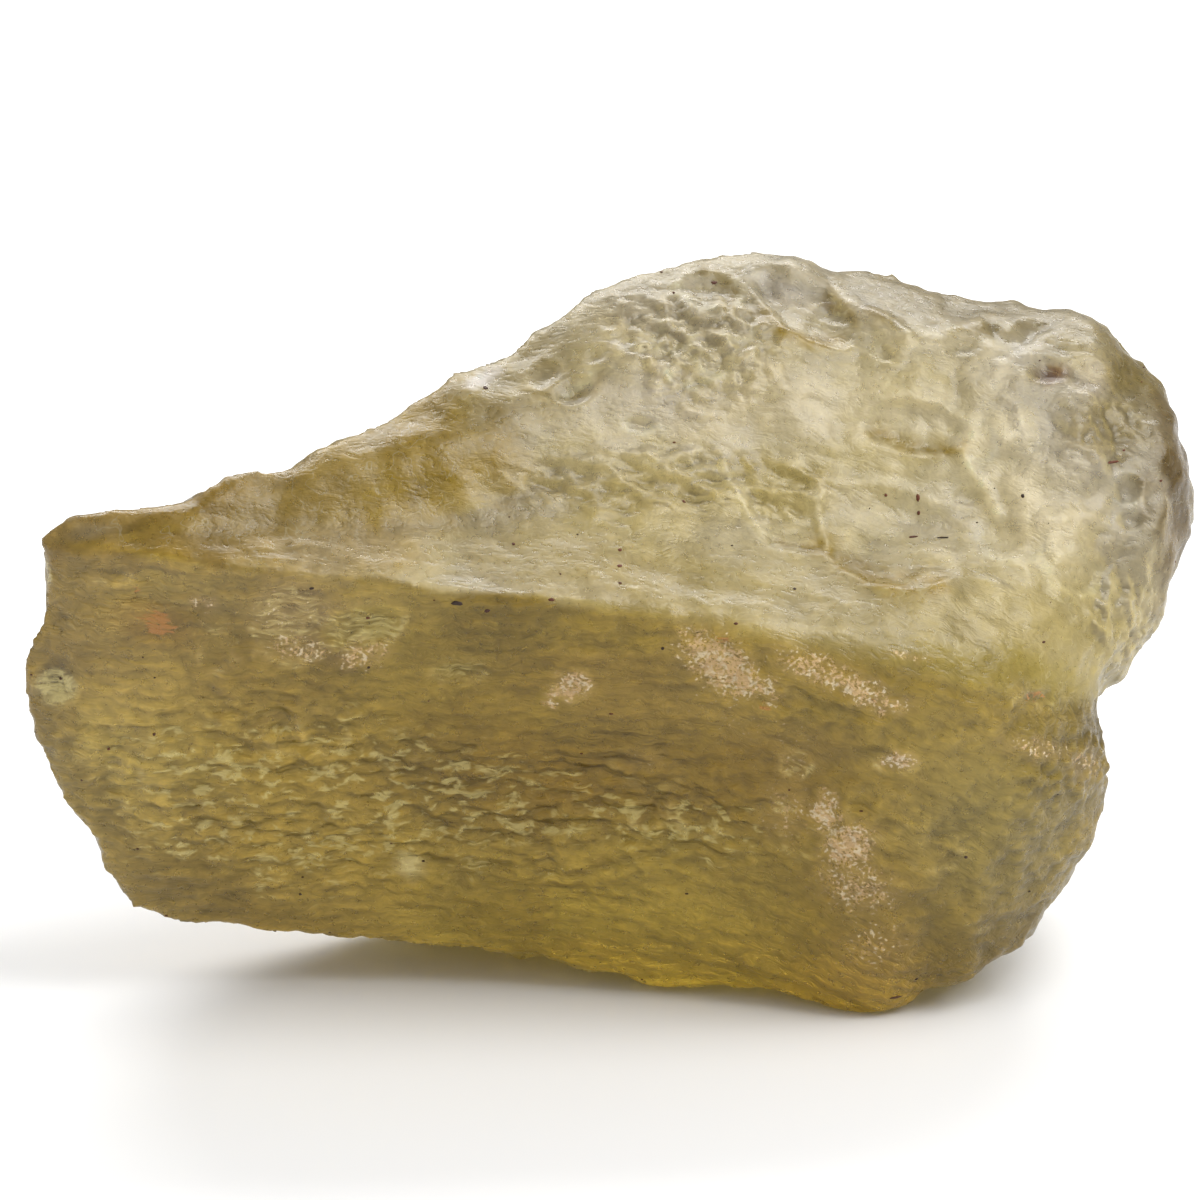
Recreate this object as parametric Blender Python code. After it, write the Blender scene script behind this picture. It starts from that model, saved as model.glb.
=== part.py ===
"""A lump of desert glass: one solid piece of natural glass with a sharp crest along its front.

Its closed sections are strung on ten rails that run from the left tip to the right tip. All rails
are drawn on one front view, with their depths beside them.
"""

import math

import bmesh
import bpy
import numpy as np
from mathutils import Vector, noise

NAME = "desert_glass"
MM = 0.001

# The front view leans back by VIEW_TILT and is seen from VIEW_DISTANCE, at VIEW_HEIGHT up the sheet
VIEW_TILT = math.radians(20)
VIEW_DISTANCE = 1000.0
VIEW_HEIGHT = 50.2

# Points (across, up) on the front view in mm. A row starts at its station, and its other points
# lie between that station and the next
RIM = (
    ((-67.6, 57.6), (-64.8, 59.9), (-59.4, 61.1)),
    ((-52.8, 62.0), (-49.2, 62.5), (-46.2, 64.7), (-42.0, 65.9)),
    ((-37.2, 66.5), (-33.6, 68.5), (-28.2, 70.3), (-24.0, 72.6), (-19.6, 75.0)),
    ((-17.0, 77.0), (-12.0, 79.1), (-8.4, 81.4), (-4.8, 83.8), (-1.2, 86.8)),
    ((3.0, 88.8), (8.4, 90.7), (14.4, 91.6)),
    ((21.6, 91.5), (27.6, 89.7), (33.0, 89.3)),
    ((36.6, 88.6), (42.0, 87.0)),
    ((50.4, 85.9), (57.6, 85.1)),
    ((60.6, 83.2), (62.8, 80.4)),
    ((64.8, 78.6), (67.4, 75.6)),
    ((69.4, 71.8),),
    ((70.9, 63.6),),
)
CREST = (
    ((-67.4, 56.3),),
    ((-58.0, 56.1), (-50.0, 55.1)),
    ((-42.0, 53.9), (-35.0, 53.3), (-25.0, 52.3)),
    ((-19.0, 51.0), (-8.0, 50.6)),
    ((4.0, 49.2), (12.0, 48.0)),
    ((25.0, 45.2),),
    ((40.0, 42.8),),
    ((52.0, 39.9),),
    ((56.6, 39.0),),
    ((60.4, 43.0),),
    ((67.4, 55.0),),
    ((70.9, 60.9),),
)
FOOT = (
    ((-66.8, 50.2), (-67.2, 48.0), (-69.0, 45.0), (-69.7, 42.0), (-68.4, 38.0), (-66.5, 32.0)),
    ((-64.2, 26.5), (-60.0, 21.4), (-57.8, 16.0), (-54.6, 12.6)),
    ((-48.0, 11.8), (-37.8, 11.1), (-30.0, 10.2)),
    ((-20.4, 9.0), (-12.0, 8.3), (-4.8, 7.4)),
    ((1.8, 5.5), (6.0, 3.4), (12.0, 3.4), (16.2, 4.0)),
    ((22.8, 3.5), (28.0, 1.2), (32.4, 0.5)),
    ((36.0, 1.8), (40.2, 4.6), (43.8, 4.4), (46.4, 6.8)),
    ((49.9, 8.9), (53.0, 13.0), (57.6, 18.7)),
    ((59.8, 23.8), (61.2, 29.4), (60.2, 33.4)),
    ((57.2, 36.2), (59.6, 38.8), (64.2, 42.9)),
    ((67.2, 47.6), (68.6, 53.2)),
    ((70.6, 57.6),),
)

# Depth of each front rail at the stations
RIM_DEPTH = (-3.0, -1.0, 5.0, 18.0, 32.5, 40.0, 42.0, 42.5, 40.0, 37.5, 32.0, 28.0)
CREST_DEPTH = (-4.0, -6.5, -8.0, -8.5, -9.0, -8.5, -7.0, -3.0, 2.0, 8.0, 17.0, 25.0)
FOOT_DEPTH = (-2.0, 1.0, 7.0, 9.0, 8.0, 4.0, 1.0, 4.5, 9.0, 13.0, 20.0, 27.0)

# How far the faces stand out from a straight line: two places on the upper face, one on the lower
UPPER_SWELL = (
    (0.2, 0.1), (0.4, -0.1), (0.8, -0.4), (1.2, -1.2), (1.8, -2.6), (3.4, -1.8),
    (5.4, 0.6), (7.0, 3.2), (7.6, 4.6), (6.6, 4.6), (4.4, 3.4), (1.6, 1.0),
)
LOWER_SWELL = (0.4, 1.2, 1.6, 1.4, 1.0, 1.6, 2.8, 3.4, 2.0, 0.6, 1.2, 0.6)

# Hidden rails: points (across, up, depth), as the front view would show them through clear glass,
# one at each station
SOLE = (
    (-66.8, 51.0, 1.0), (-63.0, 30.0, 9.0), (-47.0, 14.0, 15.5), (-20.0, 9.6, 20.0),
    (2.0, 7.6, 20.0), (22.0, 5.2, 18.0), (37.0, 5.4, 17.0), (48.5, 10.0, 18.5),
    (56.6, 24.0, 21.0), (54.6, 36.5, 24.0), (64.6, 49.5, 28.0), (70.2, 57.6, 29.0),
)
HEEL = (
    (-66.5, 52.5, 5.0), (-62.0, 36.0, 16.0), (-46.5, 22.0, 24.0), (-19.0, 13.2, 32.5),
    (3.0, 12.3, 38.0), (22.0, 13.1, 41.0), (37.0, 14.6, 41.0), (47.5, 18.5, 40.5),
    (53.8, 28.5, 41.0), (53.5, 40.5, 40.0), (64.6, 53.5, 37.0), (70.2, 58.4, 31.5),
)
BACK = (
    (-66.5, 54.5, 6.5), (-58.0, 50.5, 18.0), (-43.0, 48.0, 27.5), (-18.0, 49.0, 40.5),
    (3.0, 55.5, 49.0), (22.0, 60.5, 53.0), (37.0, 60.0, 55.0), (49.0, 56.5, 55.0),
    (56.5, 58.5, 52.5), (61.0, 60.5, 49.0), (67.8, 62.0, 41.0), (70.4, 60.2, 33.5),
)
SHOULDER = (
    (-66.8, 56.8, 3.0), (-53.5, 59.8, 9.5), (-38.5, 63.2, 15.5), (-18.0, 72.0, 29.0),
    (3.0, 82.5, 42.0), (21.5, 84.5, 48.5), (36.0, 81.5, 51.0), (49.5, 78.5, 51.5),
    (58.5, 76.5, 49.5), (63.5, 73.0, 46.0), (68.3, 67.8, 39.0), (70.6, 62.3, 32.5),
)

# The rails in order round a section, and where an edge is crisp (1) or rounded over (0)
ROUND = ("rim", "upper", "basin", "crest", "lower", "foot", "sole", "heel", "back", "shoulder")
SPANS = (6, 6, 6, 6, 6, 5, 5, 6, 6, 5)
CRISP = {
    "rim": (0.5, 0.8, 0.8, 0.8, 0.6, 0.3, 0.1, 0.0, 0.0, 0.0, 0.0, 0.0),
    "crest": (0.6, 0.9, 1.0, 1.0, 1.0, 0.8, 0.5, 0.3, 0.1, 0.0, 0.0, 0.0),
    "foot": (0.4, 0.8, 0.9, 0.9, 0.8, 0.6, 0.4, 0.7, 0.6, 0.3, 0.1, 0.0),
    "heel": (0.0, 0.2, 0.5, 0.5, 0.3, 0.1, 0.1, 0.1, 0.0, 0.0, 0.0, 0.0),
    "back": (0.0, 0.2, 0.5, 0.8, 0.8, 0.6, 0.3, 0.1, 0.0, 0.0, 0.0, 0.0),
}

SECTIONS = 72
FINE_STEPS = 600

# Wide shallow scoops: (station, place round the section, radius, depth). The places count the
# rails, so 0 is the rim, 3 the crest and 8 the back
SCOOPS = (
    (6.2, 1.9, 12.0, 1.8),
    (4.9, 0.45, 6.5, 1.1),
    (6.3, 1.2, 6.0, 0.9),
    (3.1, 8.1, 17.0, 2.6),
    (5.6, 7.8, 19.0, 3.0),
    (4.4, 9.0, 11.0, 1.8),
    (7.6, 8.6, 13.0, 2.2),
    (2.1, 8.6, 10.0, 1.5),
    (6.7, 7.5, 12.0, 1.6),
    (9.0, 5.2, 7.0, 1.6),
)

# Uneven surface: (size of the lumps, height)
WAVES = ((26.0, 1.1), (9.0, 0.45))
SEED = Vector((3.1, 7.4, 1.9))

# Parts of the surface this close to the resting plane are pressed onto it, in mm
SNAP = 0.25

COLOR = (0.42, 0.37, 0.17, 1.0)
ROUGHNESS = 0.32
TRANSMISSION = 0.55
GLASS_IOR = 1.46


def clear_scene():
    """Start from an empty scene."""
    for item in list(bpy.data.objects):
        bpy.data.objects.remove(item, do_unlink=True)


def on_front_view(across, up, depth):
    """The points in space that the front view shows at (across, up) and that lie at a depth."""
    lean, rise = math.sin(VIEW_TILT), math.cos(VIEW_TILT)
    above = up - VIEW_HEIGHT
    away = (depth - up * lean) / (rise + above * lean / VIEW_DISTANCE)
    grow = 1 + away / VIEW_DISTANCE
    height = above * grow * rise + VIEW_HEIGHT * rise - away * lean
    return np.stack((across * grow, depth, height), axis=-1)


def smooth_through(places, values, wanted):
    """A smooth curve through the values at their places, which never swings past them."""
    values = np.asarray(values, float).reshape(len(places), -1)
    gap = np.diff(places)[:, None]
    rate = np.diff(values, axis=0) / gap
    before, after = rate[:-1], rate[1:]
    same_way = before * after > 0
    weight_before = 2 * gap[1:] + gap[:-1]
    weight_after = gap[1:] + 2 * gap[:-1]
    safe_before = np.where(same_way, before, 1.0)
    safe_after = np.where(same_way, after, 1.0)
    mean = (weight_before + weight_after) / (weight_before / safe_before + weight_after / safe_after)
    slope = np.vstack((rate[:1], np.where(same_way, mean, 0.0), rate[-1:]))
    row = np.clip(np.searchsorted(places, wanted, side="right") - 1, 0, len(places) - 2)
    width = gap[row]
    s = ((wanted - places[row]) / width[:, 0])[:, None]
    start, end = values[row], values[row + 1]
    return (
        (1 + 2 * s) * (1 - s) ** 2 * start
        + s * (1 - s) ** 2 * width * slope[row]
        + s * s * (3 - 2 * s) * end
        + s * s * (s - 1) * width * slope[row + 1]
    )


def drawn_rail(rows, depths, stations):
    """A rail of the front view, read at the wanted stations."""
    points = np.array([point for row in rows for point in row])
    places = []
    for number, row in enumerate(rows):
        stretch = np.array(row + rows[number + 1][:1] if number + 1 < len(rows) else row)
        run = np.concatenate(((0.0,), np.cumsum(np.linalg.norm(np.diff(stretch, axis=0), axis=1))))
        places.extend(number + (run[: len(row)] / run[-1] if len(stretch) > 1 else run))
    sheet = smooth_through(np.array(places), points, stations)
    depth = smooth_through(np.arange(len(depths), dtype=float), depths, stations)[:, 0]
    return on_front_view(sheet[:, 0], sheet[:, 1], depth)


def station_values(values, stations):
    """Values given one for each station, read at the wanted stations."""
    return smooth_through(np.arange(len(values), dtype=float), values, stations)


def hidden_rail(points, stations):
    """A rail behind the front view, read at the wanted stations."""
    return on_front_view(*station_values(points, stations).T)


def swelled(start, end, part, swell):
    """Points part of the way from one rail to another, standing out towards the viewer."""
    line = end - start
    outward = np.cross(line, np.array((1.0, 0.0, 0.0)))
    outward /= np.linalg.norm(outward, axis=1)[:, None]
    return start + part * line + swell[:, None] * outward


def all_rails(stations):
    """Every rail in order round the section, as an array of (station, rail, xyz)."""
    rim = drawn_rail(RIM, RIM_DEPTH, stations)
    crest = drawn_rail(CREST, CREST_DEPTH, stations)
    foot = drawn_rail(FOOT, FOOT_DEPTH, stations)
    upper_swell = station_values(UPPER_SWELL, stations)
    lower_swell = station_values(LOWER_SWELL, stations)[:, 0]
    rails = {
        "rim": rim,
        "upper": swelled(rim, crest, 0.33, upper_swell[:, 0]),
        "basin": swelled(rim, crest, 0.67, upper_swell[:, 1]),
        "crest": crest,
        "lower": swelled(crest, foot, 0.5, lower_swell),
        "foot": foot,
        "sole": hidden_rail(SOLE, stations),
        "heel": hidden_rail(HEEL, stations),
        "back": hidden_rail(BACK, stations),
        "shoulder": hidden_rail(SHOULDER, stations),
    }
    return np.stack([rails[name] for name in ROUND], axis=1)


def even_stations():
    """Stations spaced so that the sections lie at even distances along the piece."""
    fine = np.linspace(0.0, len(RIM) - 1.0, FINE_STEPS)
    rails = all_rails(fine)
    step = np.linalg.norm(np.diff(rails, axis=0), axis=2).mean(axis=1)
    run = np.concatenate(((0.0,), np.cumsum(step)))
    return np.interp(np.linspace(0.0, run[-1], SECTIONS), run, fine)


def section_points(keys, crisp):
    """One closed section through its rail points, with crisp or rounded corners."""
    after = np.roll(keys, -1, axis=0) - keys
    length = np.linalg.norm(after, axis=1)[:, None]
    heading = after / length
    heading_before = np.roll(heading, 1, axis=0)
    length_before = np.roll(length, 1, axis=0)
    soft = (length * heading_before + length_before * heading) / (length + length_before)
    crisp = crisp[:, None]
    leaving = (1 - crisp) * soft + crisp * heading
    arriving = (1 - crisp) * soft + crisp * heading_before
    points = []
    for number, count in enumerate(SPANS):
        following = (number + 1) % len(keys)
        s = (np.arange(count) / count)[:, None]
        points.append(
            (1 + 2 * s) * (1 - s) ** 2 * keys[number]
            + s * (1 - s) ** 2 * length[number] * leaving[number]
            + s * s * (3 - 2 * s) * keys[following]
            + s * s * (s - 1) * length[number] * arriving[following]
        )
    return np.vstack(points)


def corner_crispness(stations):
    """How crisp each rail is at each wanted station."""
    crisp = np.zeros((len(stations), len(ROUND)))
    for name, values in CRISP.items():
        crisp[:, ROUND.index(name)] = station_values(values, stations)[:, 0]
    return crisp


def place_on_surface(grid, stations, station, place):
    """The surface point at a station and a place round the section."""
    starts = np.concatenate(((0,), np.cumsum(SPANS)))
    rail = int(place)
    column = int(round(starts[rail] + (place - rail) * SPANS[rail])) % grid.shape[1]
    row = int(np.argmin(np.abs(stations - station)))
    return grid[row, column]


def loft(grid):
    """A closed mesh over the grid of sections, with a fan over each end."""
    bm = bmesh.new()
    rows = [[bm.verts.new(point) for point in section] for section in grid]
    for row, following in zip(rows, rows[1:]):
        for number, vert in enumerate(row):
            nearby = (number + 1) % len(row)
            bm.faces.new((vert, following[number], following[nearby], row[nearby]))
    for row, flipped in ((rows[0], False), (rows[-1], True)):
        tip = bm.verts.new(np.mean([vert.co for vert in row], axis=0))
        for number, vert in enumerate(row):
            nearby = row[(number + 1) % len(row)]
            bm.faces.new((vert, tip, nearby) if flipped else (vert, nearby, tip))
    bmesh.ops.recalc_face_normals(bm, faces=bm.faces)
    return bm


def weather(bm, centres):
    """Press the scoops into the surface and make it uneven."""
    bm.normal_update()
    moves = []
    for vert in bm.verts:
        move = 0.0
        for centre, (_, _, radius, depth) in zip(centres, SCOOPS):
            reach = (vert.co - centre).length / radius
            if reach < 1.0:
                move -= depth * (1.0 - reach * reach) ** 2
        for size, height in WAVES:
            move += height * noise.noise(vert.co / size + SEED)
        moves.append(vert.normal * move)
    for vert, move in zip(bm.verts, moves):
        vert.co += move


def flatten_base(bm):
    """Cut the underside flat where it rests."""
    for vert in bm.verts:
        if abs(vert.co.z) < SNAP:
            vert.co.z = 0.0
    everything = bm.verts[:] + bm.edges[:] + bm.faces[:]
    bmesh.ops.bisect_plane(bm, geom=everything, plane_co=(0, 0, 0), plane_no=(0, 0, -1), clear_outer=True)
    open_edges = [edge for edge in bm.edges if edge.is_boundary]
    bmesh.ops.holes_fill(bm, edges=open_edges, sides=0)


def centre_on_base(bm):
    """Move the piece so that the middle of its footprint is the origin, and scale it to metres."""
    corners = np.array([vert.co for vert in bm.verts])
    middle = (corners.min(axis=0) + corners.max(axis=0)) / 2
    bmesh.ops.translate(bm, verts=bm.verts, vec=(-middle[0], -middle[1], 0.0))
    bmesh.ops.scale(bm, verts=bm.verts, vec=(MM, MM, MM))


def glass_material():
    """Milky yellow-green natural glass."""
    material = bpy.data.materials.new(NAME)
    material.use_nodes = True
    shader = material.node_tree.nodes["Principled BSDF"]
    shader.inputs["Base Color"].default_value = COLOR
    shader.inputs["Roughness"].default_value = ROUGHNESS
    shader.inputs["Transmission Weight"].default_value = TRANSMISSION
    shader.inputs["IOR"].default_value = GLASS_IOR
    shader.inputs["Metallic"].default_value = 0.0
    return material


def build():
    """The whole piece."""
    clear_scene()
    stations = even_stations()
    rails = all_rails(stations)
    crisp = corner_crispness(stations)
    grid = np.stack([section_points(keys, sharp) for keys, sharp in zip(rails, crisp)])
    centres = [Vector(place_on_surface(grid, stations, scoop[0], scoop[1])) for scoop in SCOOPS]

    bm = loft(grid)
    weather(bm, centres)
    flatten_base(bm)
    centre_on_base(bm)
    bmesh.ops.triangulate(bm, faces=bm.faces)
    bmesh.ops.recalc_face_normals(bm, faces=bm.faces)

    mesh = bpy.data.meshes.new(NAME)
    bm.to_mesh(mesh)
    bm.free()
    mesh.materials.append(glass_material())
    mesh.shade_smooth()
    mesh.set_sharp_from_angle(angle=math.radians(40))
    piece = bpy.data.objects.new(NAME, mesh)
    bpy.context.scene.collection.objects.link(piece)


build()
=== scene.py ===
"""The looks of a lump of desert glass: its wind-worn skin, its milky glass and a plain pale studio."""

import itertools
import math

import bmesh
import bpy
import numpy as np
from mathutils import Matrix, Vector
from mathutils.bvhtree import BVHTree


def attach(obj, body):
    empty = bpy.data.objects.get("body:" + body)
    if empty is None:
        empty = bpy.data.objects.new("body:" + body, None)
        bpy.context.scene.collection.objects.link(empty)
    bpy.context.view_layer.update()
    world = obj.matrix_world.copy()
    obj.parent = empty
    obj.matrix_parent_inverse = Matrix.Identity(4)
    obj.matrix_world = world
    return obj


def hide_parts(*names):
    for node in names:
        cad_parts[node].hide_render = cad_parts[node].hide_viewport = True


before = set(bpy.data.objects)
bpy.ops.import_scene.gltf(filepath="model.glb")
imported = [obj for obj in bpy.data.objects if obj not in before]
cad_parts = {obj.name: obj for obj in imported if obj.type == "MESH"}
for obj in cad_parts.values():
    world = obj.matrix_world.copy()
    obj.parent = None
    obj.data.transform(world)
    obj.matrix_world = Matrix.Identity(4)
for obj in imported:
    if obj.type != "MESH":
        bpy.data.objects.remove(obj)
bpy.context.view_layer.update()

NODE = "desert_glass"
PIECE = "desert_glass_skin"
SPECKS = "dark_specks"
BODY = "root"
MM = 0.001

# The front view is a sheet of (across, up) in mm, leaned back by VIEW_TILT and seen from
# VIEW_DISTANCE at VIEW_HEIGHT up the sheet. HOME is the model's origin in the sheet's own frame
VIEW_TILT = math.radians(20)
VIEW_DISTANCE = 1000.0
VIEW_HEIGHT = 50.2
VIEW_WIDTH = 144.0
HOME = np.array((1.6, 23.24, 0.0))
SENSOR_WIDTH = 36.0

LEAN, RISE = math.sin(VIEW_TILT), math.cos(VIEW_TILT)
AWAY = np.array((0.0, RISE, -LEAN))
SHEET_UP = np.array((0.0, LEAN, RISE))

# The crest on the front view, from the left tip to the waist
CREST = (
    (-67.4, 56.3), (-58.0, 56.1), (-50.0, 55.1), (-42.0, 53.9), (-35.0, 53.3), (-25.0, 52.3),
    (-19.0, 51.0), (-8.0, 50.6), (4.0, 49.2), (12.0, 48.0), (25.0, 45.2), (40.0, 42.8),
    (52.0, 39.9), (57.0, 38.4), (75.0, 37.0),
)

# Mesh fineness. Lengths are in mm; steps are rounds of smoothing
WELD_DISTANCE = 0.001
VOXEL = 0.5
SMOOTH_STEPS = 7
CREST_STEPS = 60
HOLLOW_STEPS = 12
BROAD_STEPS = 60
MOST_TRIANGLES = 190000
# How far a face looks away from the camera before it counts as hidden and is thinned
HIDDEN_FROM = 0.05
ROUGHENING = 0.2
THINNING_SEED = 3


# Repeatable noise

GRADIENTS = np.array([v for v in itertools.product((-1, 0, 1), repeat=3) if sum(map(abs, v)) == 2], float)


def scrambled(cell, seed):
    """A whole number that looks random for each whole-number point."""
    x, y, z = (cell[:, axis].astype(np.uint32) for axis in range(3))
    n = x * np.uint32(374761393) + y * np.uint32(668265263) + z * np.uint32(2246822519)
    n += np.uint32((seed * 977 + 101) * 3266489917 % 2 ** 32)
    n = (n ^ (n >> np.uint32(15))) * np.uint32(2246822519)
    n = (n ^ (n >> np.uint32(13))) * np.uint32(3266489917)
    return n ^ (n >> np.uint32(16))


def noise(points, size, seed=0):
    """Smooth noise from about -1 to 1, with lumps about one size apart."""
    points = points / size
    cell = np.floor(points).astype(np.int64)
    inside = points - cell
    ease = inside ** 3 * (inside * (inside * 6 - 15) + 10)
    total = np.zeros(len(points))
    for corner in itertools.product((0, 1), repeat=3):
        corner = np.array(corner)
        weight = np.prod(np.where(corner == 1, ease, 1 - ease), axis=1)
        slope = GRADIENTS[scrambled(cell + corner, seed) % len(GRADIENTS)]
        total += weight * np.sum(slope * (inside - corner), axis=1)
    return total


def rough_noise(points, size, seed=0, layers=3):
    """Noise with finer and finer layers."""
    return sum(noise(points, size * 0.5 ** n, seed + n) * 0.55 ** n for n in range(layers))


def creases(points, size, seed=0):
    """Rounded lumps with sharp valleys between them, from 0 in a valley to about 0.6."""
    return np.abs(noise(points, size, seed))


def cells(points, size, seed=0):
    """Distances to the nearest and next random centre, in sizes."""
    points = points / size
    cell = np.floor(points).astype(np.int64)
    nearest = np.full(len(points), 9.0)
    following = np.full(len(points), 9.0)
    for step in itertools.product((-1, 0, 1), repeat=3):
        there = cell + np.array(step)
        spot = np.stack([scrambled(there, seed + n) % 4096 / 4096 for n in range(3)], axis=1)
        distance = np.linalg.norm(there + spot - points, axis=1)
        following = np.minimum(following, np.maximum(nearest, distance))
        nearest = np.minimum(nearest, distance)
    return nearest, following


def ease_between(value, low, high):
    """0 below low, 1 above high, and smooth between."""
    part = np.clip((value - low) / (high - low), 0.0, 1.0)
    return part * part * (3 - 2 * part)


# Places on the front view

def on_sheet(points):
    """Where points, in mm in the model's frame, show on the front view."""
    offset = points + HOME - VIEW_HEIGHT * SHEET_UP
    grow = 1 + offset @ AWAY / VIEW_DISTANCE
    return np.stack((offset[:, 0] / grow, offset @ SHEET_UP / grow + VIEW_HEIGHT), axis=1)


def turned(place, centre, size, turn):
    """Places measured from a centre along turned axes, in sizes."""
    c, s = math.cos(math.radians(turn)), math.sin(math.radians(turn))
    offset = place - np.array(centre)
    across = offset[:, 0] * c + offset[:, 1] * s
    up = offset[:, 1] * c - offset[:, 0] * s
    return across / size[0], up / size[1]


def patch(place, across, up, wide, high, turn=0.0, soft=0.5):
    """1 inside a turned ellipse on the sheet, fading to 0 over its soft edge."""
    u, v = turned(place, (across, up), (wide, high), turn)
    return 1 - ease_between(np.hypot(u, v), 1 - soft, 1 + soft)


def line_distance(place, points):
    """Distance on the sheet to a line through points, in mm."""
    best = np.full(len(place), 1e9)
    points = np.array(points, float)
    for start, end in zip(points, points[1:]):
        run = end - start
        part = np.clip((place - start) @ run / (run @ run), 0.0, 1.0)
        best = np.minimum(best, np.linalg.norm(place - start - part[:, None] * run, axis=1))
    return best


def above_crest(place):
    """How far places lie above the crest on the sheet, in mm."""
    return place[:, 1] - np.interp(place[:, 0], *zip(*CREST))


# Shape of the skin. Sizes and heights are in mm; a positive height stands out

# Hollows on the front: (across, up, half width, half height, turn, depth, crispness, lean).
# A positive lean makes the lower side steep
HOLLOWS = (
    (13.0, 87.3, 3.9, 2.3, -12, 0.90, 1.1, -0.6),
    (24.6, 85.0, 7.2, 3.3, -32, 1.2, 1.0, 0.1),
    (19.6, 87.6, 2.6, 1.6, -25, 0.40, 1.5, 0.3),
    (28.0, 84.6, 2.2, 0.8, -28, 0.45, 1.2, -0.5),
    (-6.9, 77.3, 2.2, 1.7, 40, 0.5, 1.1, 0.5),
    (-3.2, 75.4, 2.7, 1.7, 15, 0.7, 1.0, 0.7),
    (-0.4, 79.6, 1.8, 1.2, 25, 0.4, 1.3, 0.4),
    (4.8, 71.3, 2.1, 0.9, -5, 0.4, 1.0, 0.6),
    (37.8, 70.8, 6.4, 3.2, -9, 1.0, 1.0, 0.2),
    (34.8, 57.7, 9.8, 5.8, -17, 1.1, 1.0, 0.3),
    (24.0, 60.4, 3.6, 4.6, 25, 0.45, 1.2, 0.5),
    (44.2, 62.6, 2.0, 1.2, 5, 0.35, 1.0, 0.5),
    (34.0, 79.6, 2.4, 1.0, -20, 0.35, 1.1, 0.4),
    (58.4, 76.9, 3.0, 2.2, -20, 0.6, 1.2, -0.4),
    (53.4, 77.4, 2.4, 1.4, 0, 0.45, 1.3, 0.2),
    (50.8, 82.6, 2.4, 1.4, 35, 0.5, 1.1, 0.7),
    (43.4, 80.6, 3.0, 1.6, -10, 0.35, 1.4, 0.2),
    (61.4, 70.4, 3.2, 3.4, -40, 0.65, 1.3, 0.2),
    (63.2, 63.6, 1.8, 1.9, 10, 0.55, 1.1, 0.1),
    (66.4, 62.2, 1.4, 2.2, 8, 0.5, 1.1, 0.0),
    (63.6, 59.8, 1.7, 1.3, 0, 0.4, 1.1, 0.3),
    (56.6, 63.0, 4.2, 3.2, 20, 0.45, 1.4, 0.3),
    (49.0, 57.5, 4.6, 3.0, -10, 0.5, 1.3, 0.5),
    (57.8, 53.2, 3.6, 2.4, -20, 0.45, 1.3, 0.4),
    (63.5, 52.6, 2.4, 2.2, 30, 0.5, 1.2, 0.3),
    (62.0, 47.6, 2.6, 1.7, 40, 0.45, 1.2, 0.2),
    (47.5, 71.5, 3.4, 2.6, 60, 0.5, 1.3, 0.2),
    (53.6, 70.0, 2.6, 3.6, 10, 0.45, 1.4, 0.2),
    (-36.8, 47.6, 5.4, 4.5, 10, 0.5, 1.0, 0.5),
    (-28.2, 46.9, 4.9, 2.7, 10, 0.45, 1.0, 0.5),
    (-42.8, 45.2, 2.4, 2.0, 0, 0.25, 1.1, 0.5),
    (-46.2, 44.0, 2.2, 2.4, 0, 0.25, 1.1, 0.4),
    (-58.6, 53.2, 2.4, 1.3, 0, 0.25, 1.2, 0.4),
    (-65.0, 40.4, 3.0, 2.7, -20, 0.6, 1.0, 0.2),
    (-3.5, 40.0, 2.0, 1.7, 0, 0.35, 1.1, 0.2),
    (-16.8, 41.8, 3.2, 1.3, 0, 0.25, 1.2, 0.5),
    (-33.0, 34.2, 3.0, 2.4, -40, 0.45, 1.1, 0.5),
    (-38.0, 34.6, 2.6, 2.2, -50, 0.4, 1.1, 0.5),
    (23.4, 30.3, 1.7, 1.6, 0, 0.35, 1.1, 0.3),
    (35.5, 30.5, 2.0, 1.3, 0, 0.35, 1.1, 0.4),
    (6.2, 24.3, 2.6, 1.4, 25, 0.4, 1.0, -0.5),
    (11.8, 24.0, 2.4, 1.3, -30, 0.4, 1.0, -0.4),
    (52.8, 38.4, 2.3, 1.0, 12, 0.35, 1.1, 0.3),
    (11.6, 47.0, 3.8, 2.2, -55, 0.5, 1.0, 0.5),
)

# Folds and cracks on the front: (points, width, height)
FOLDS = (
    (((23.0, 90.4), (28.0, 87.6), (31.5, 84.8), (36.5, 81.6)), 1.1, 0.5),
    (((36.5, 81.6), (41.0, 81.0), (45.5, 83.2)), 1.2, 0.4),
    (((26.2, 63.2), (26.4, 60.0), (27.6, 57.0)), 0.5, 0.4),
    (((43.4, 67.6), (45.6, 64.0), (47.4, 60.6)), 0.8, 0.45),
    (((14.6, 66.4), (16.6, 63.6), (18.4, 60.2), (19.9, 57.8)), 0.6, 0.4),
    (((19.9, 57.8), (22.7, 56.8), (26.3, 56.4)), 0.6, -0.35),
    (((47.0, 83.0), (50.0, 80.4), (53.4, 83.4)), 0.8, -0.5),
)

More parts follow.
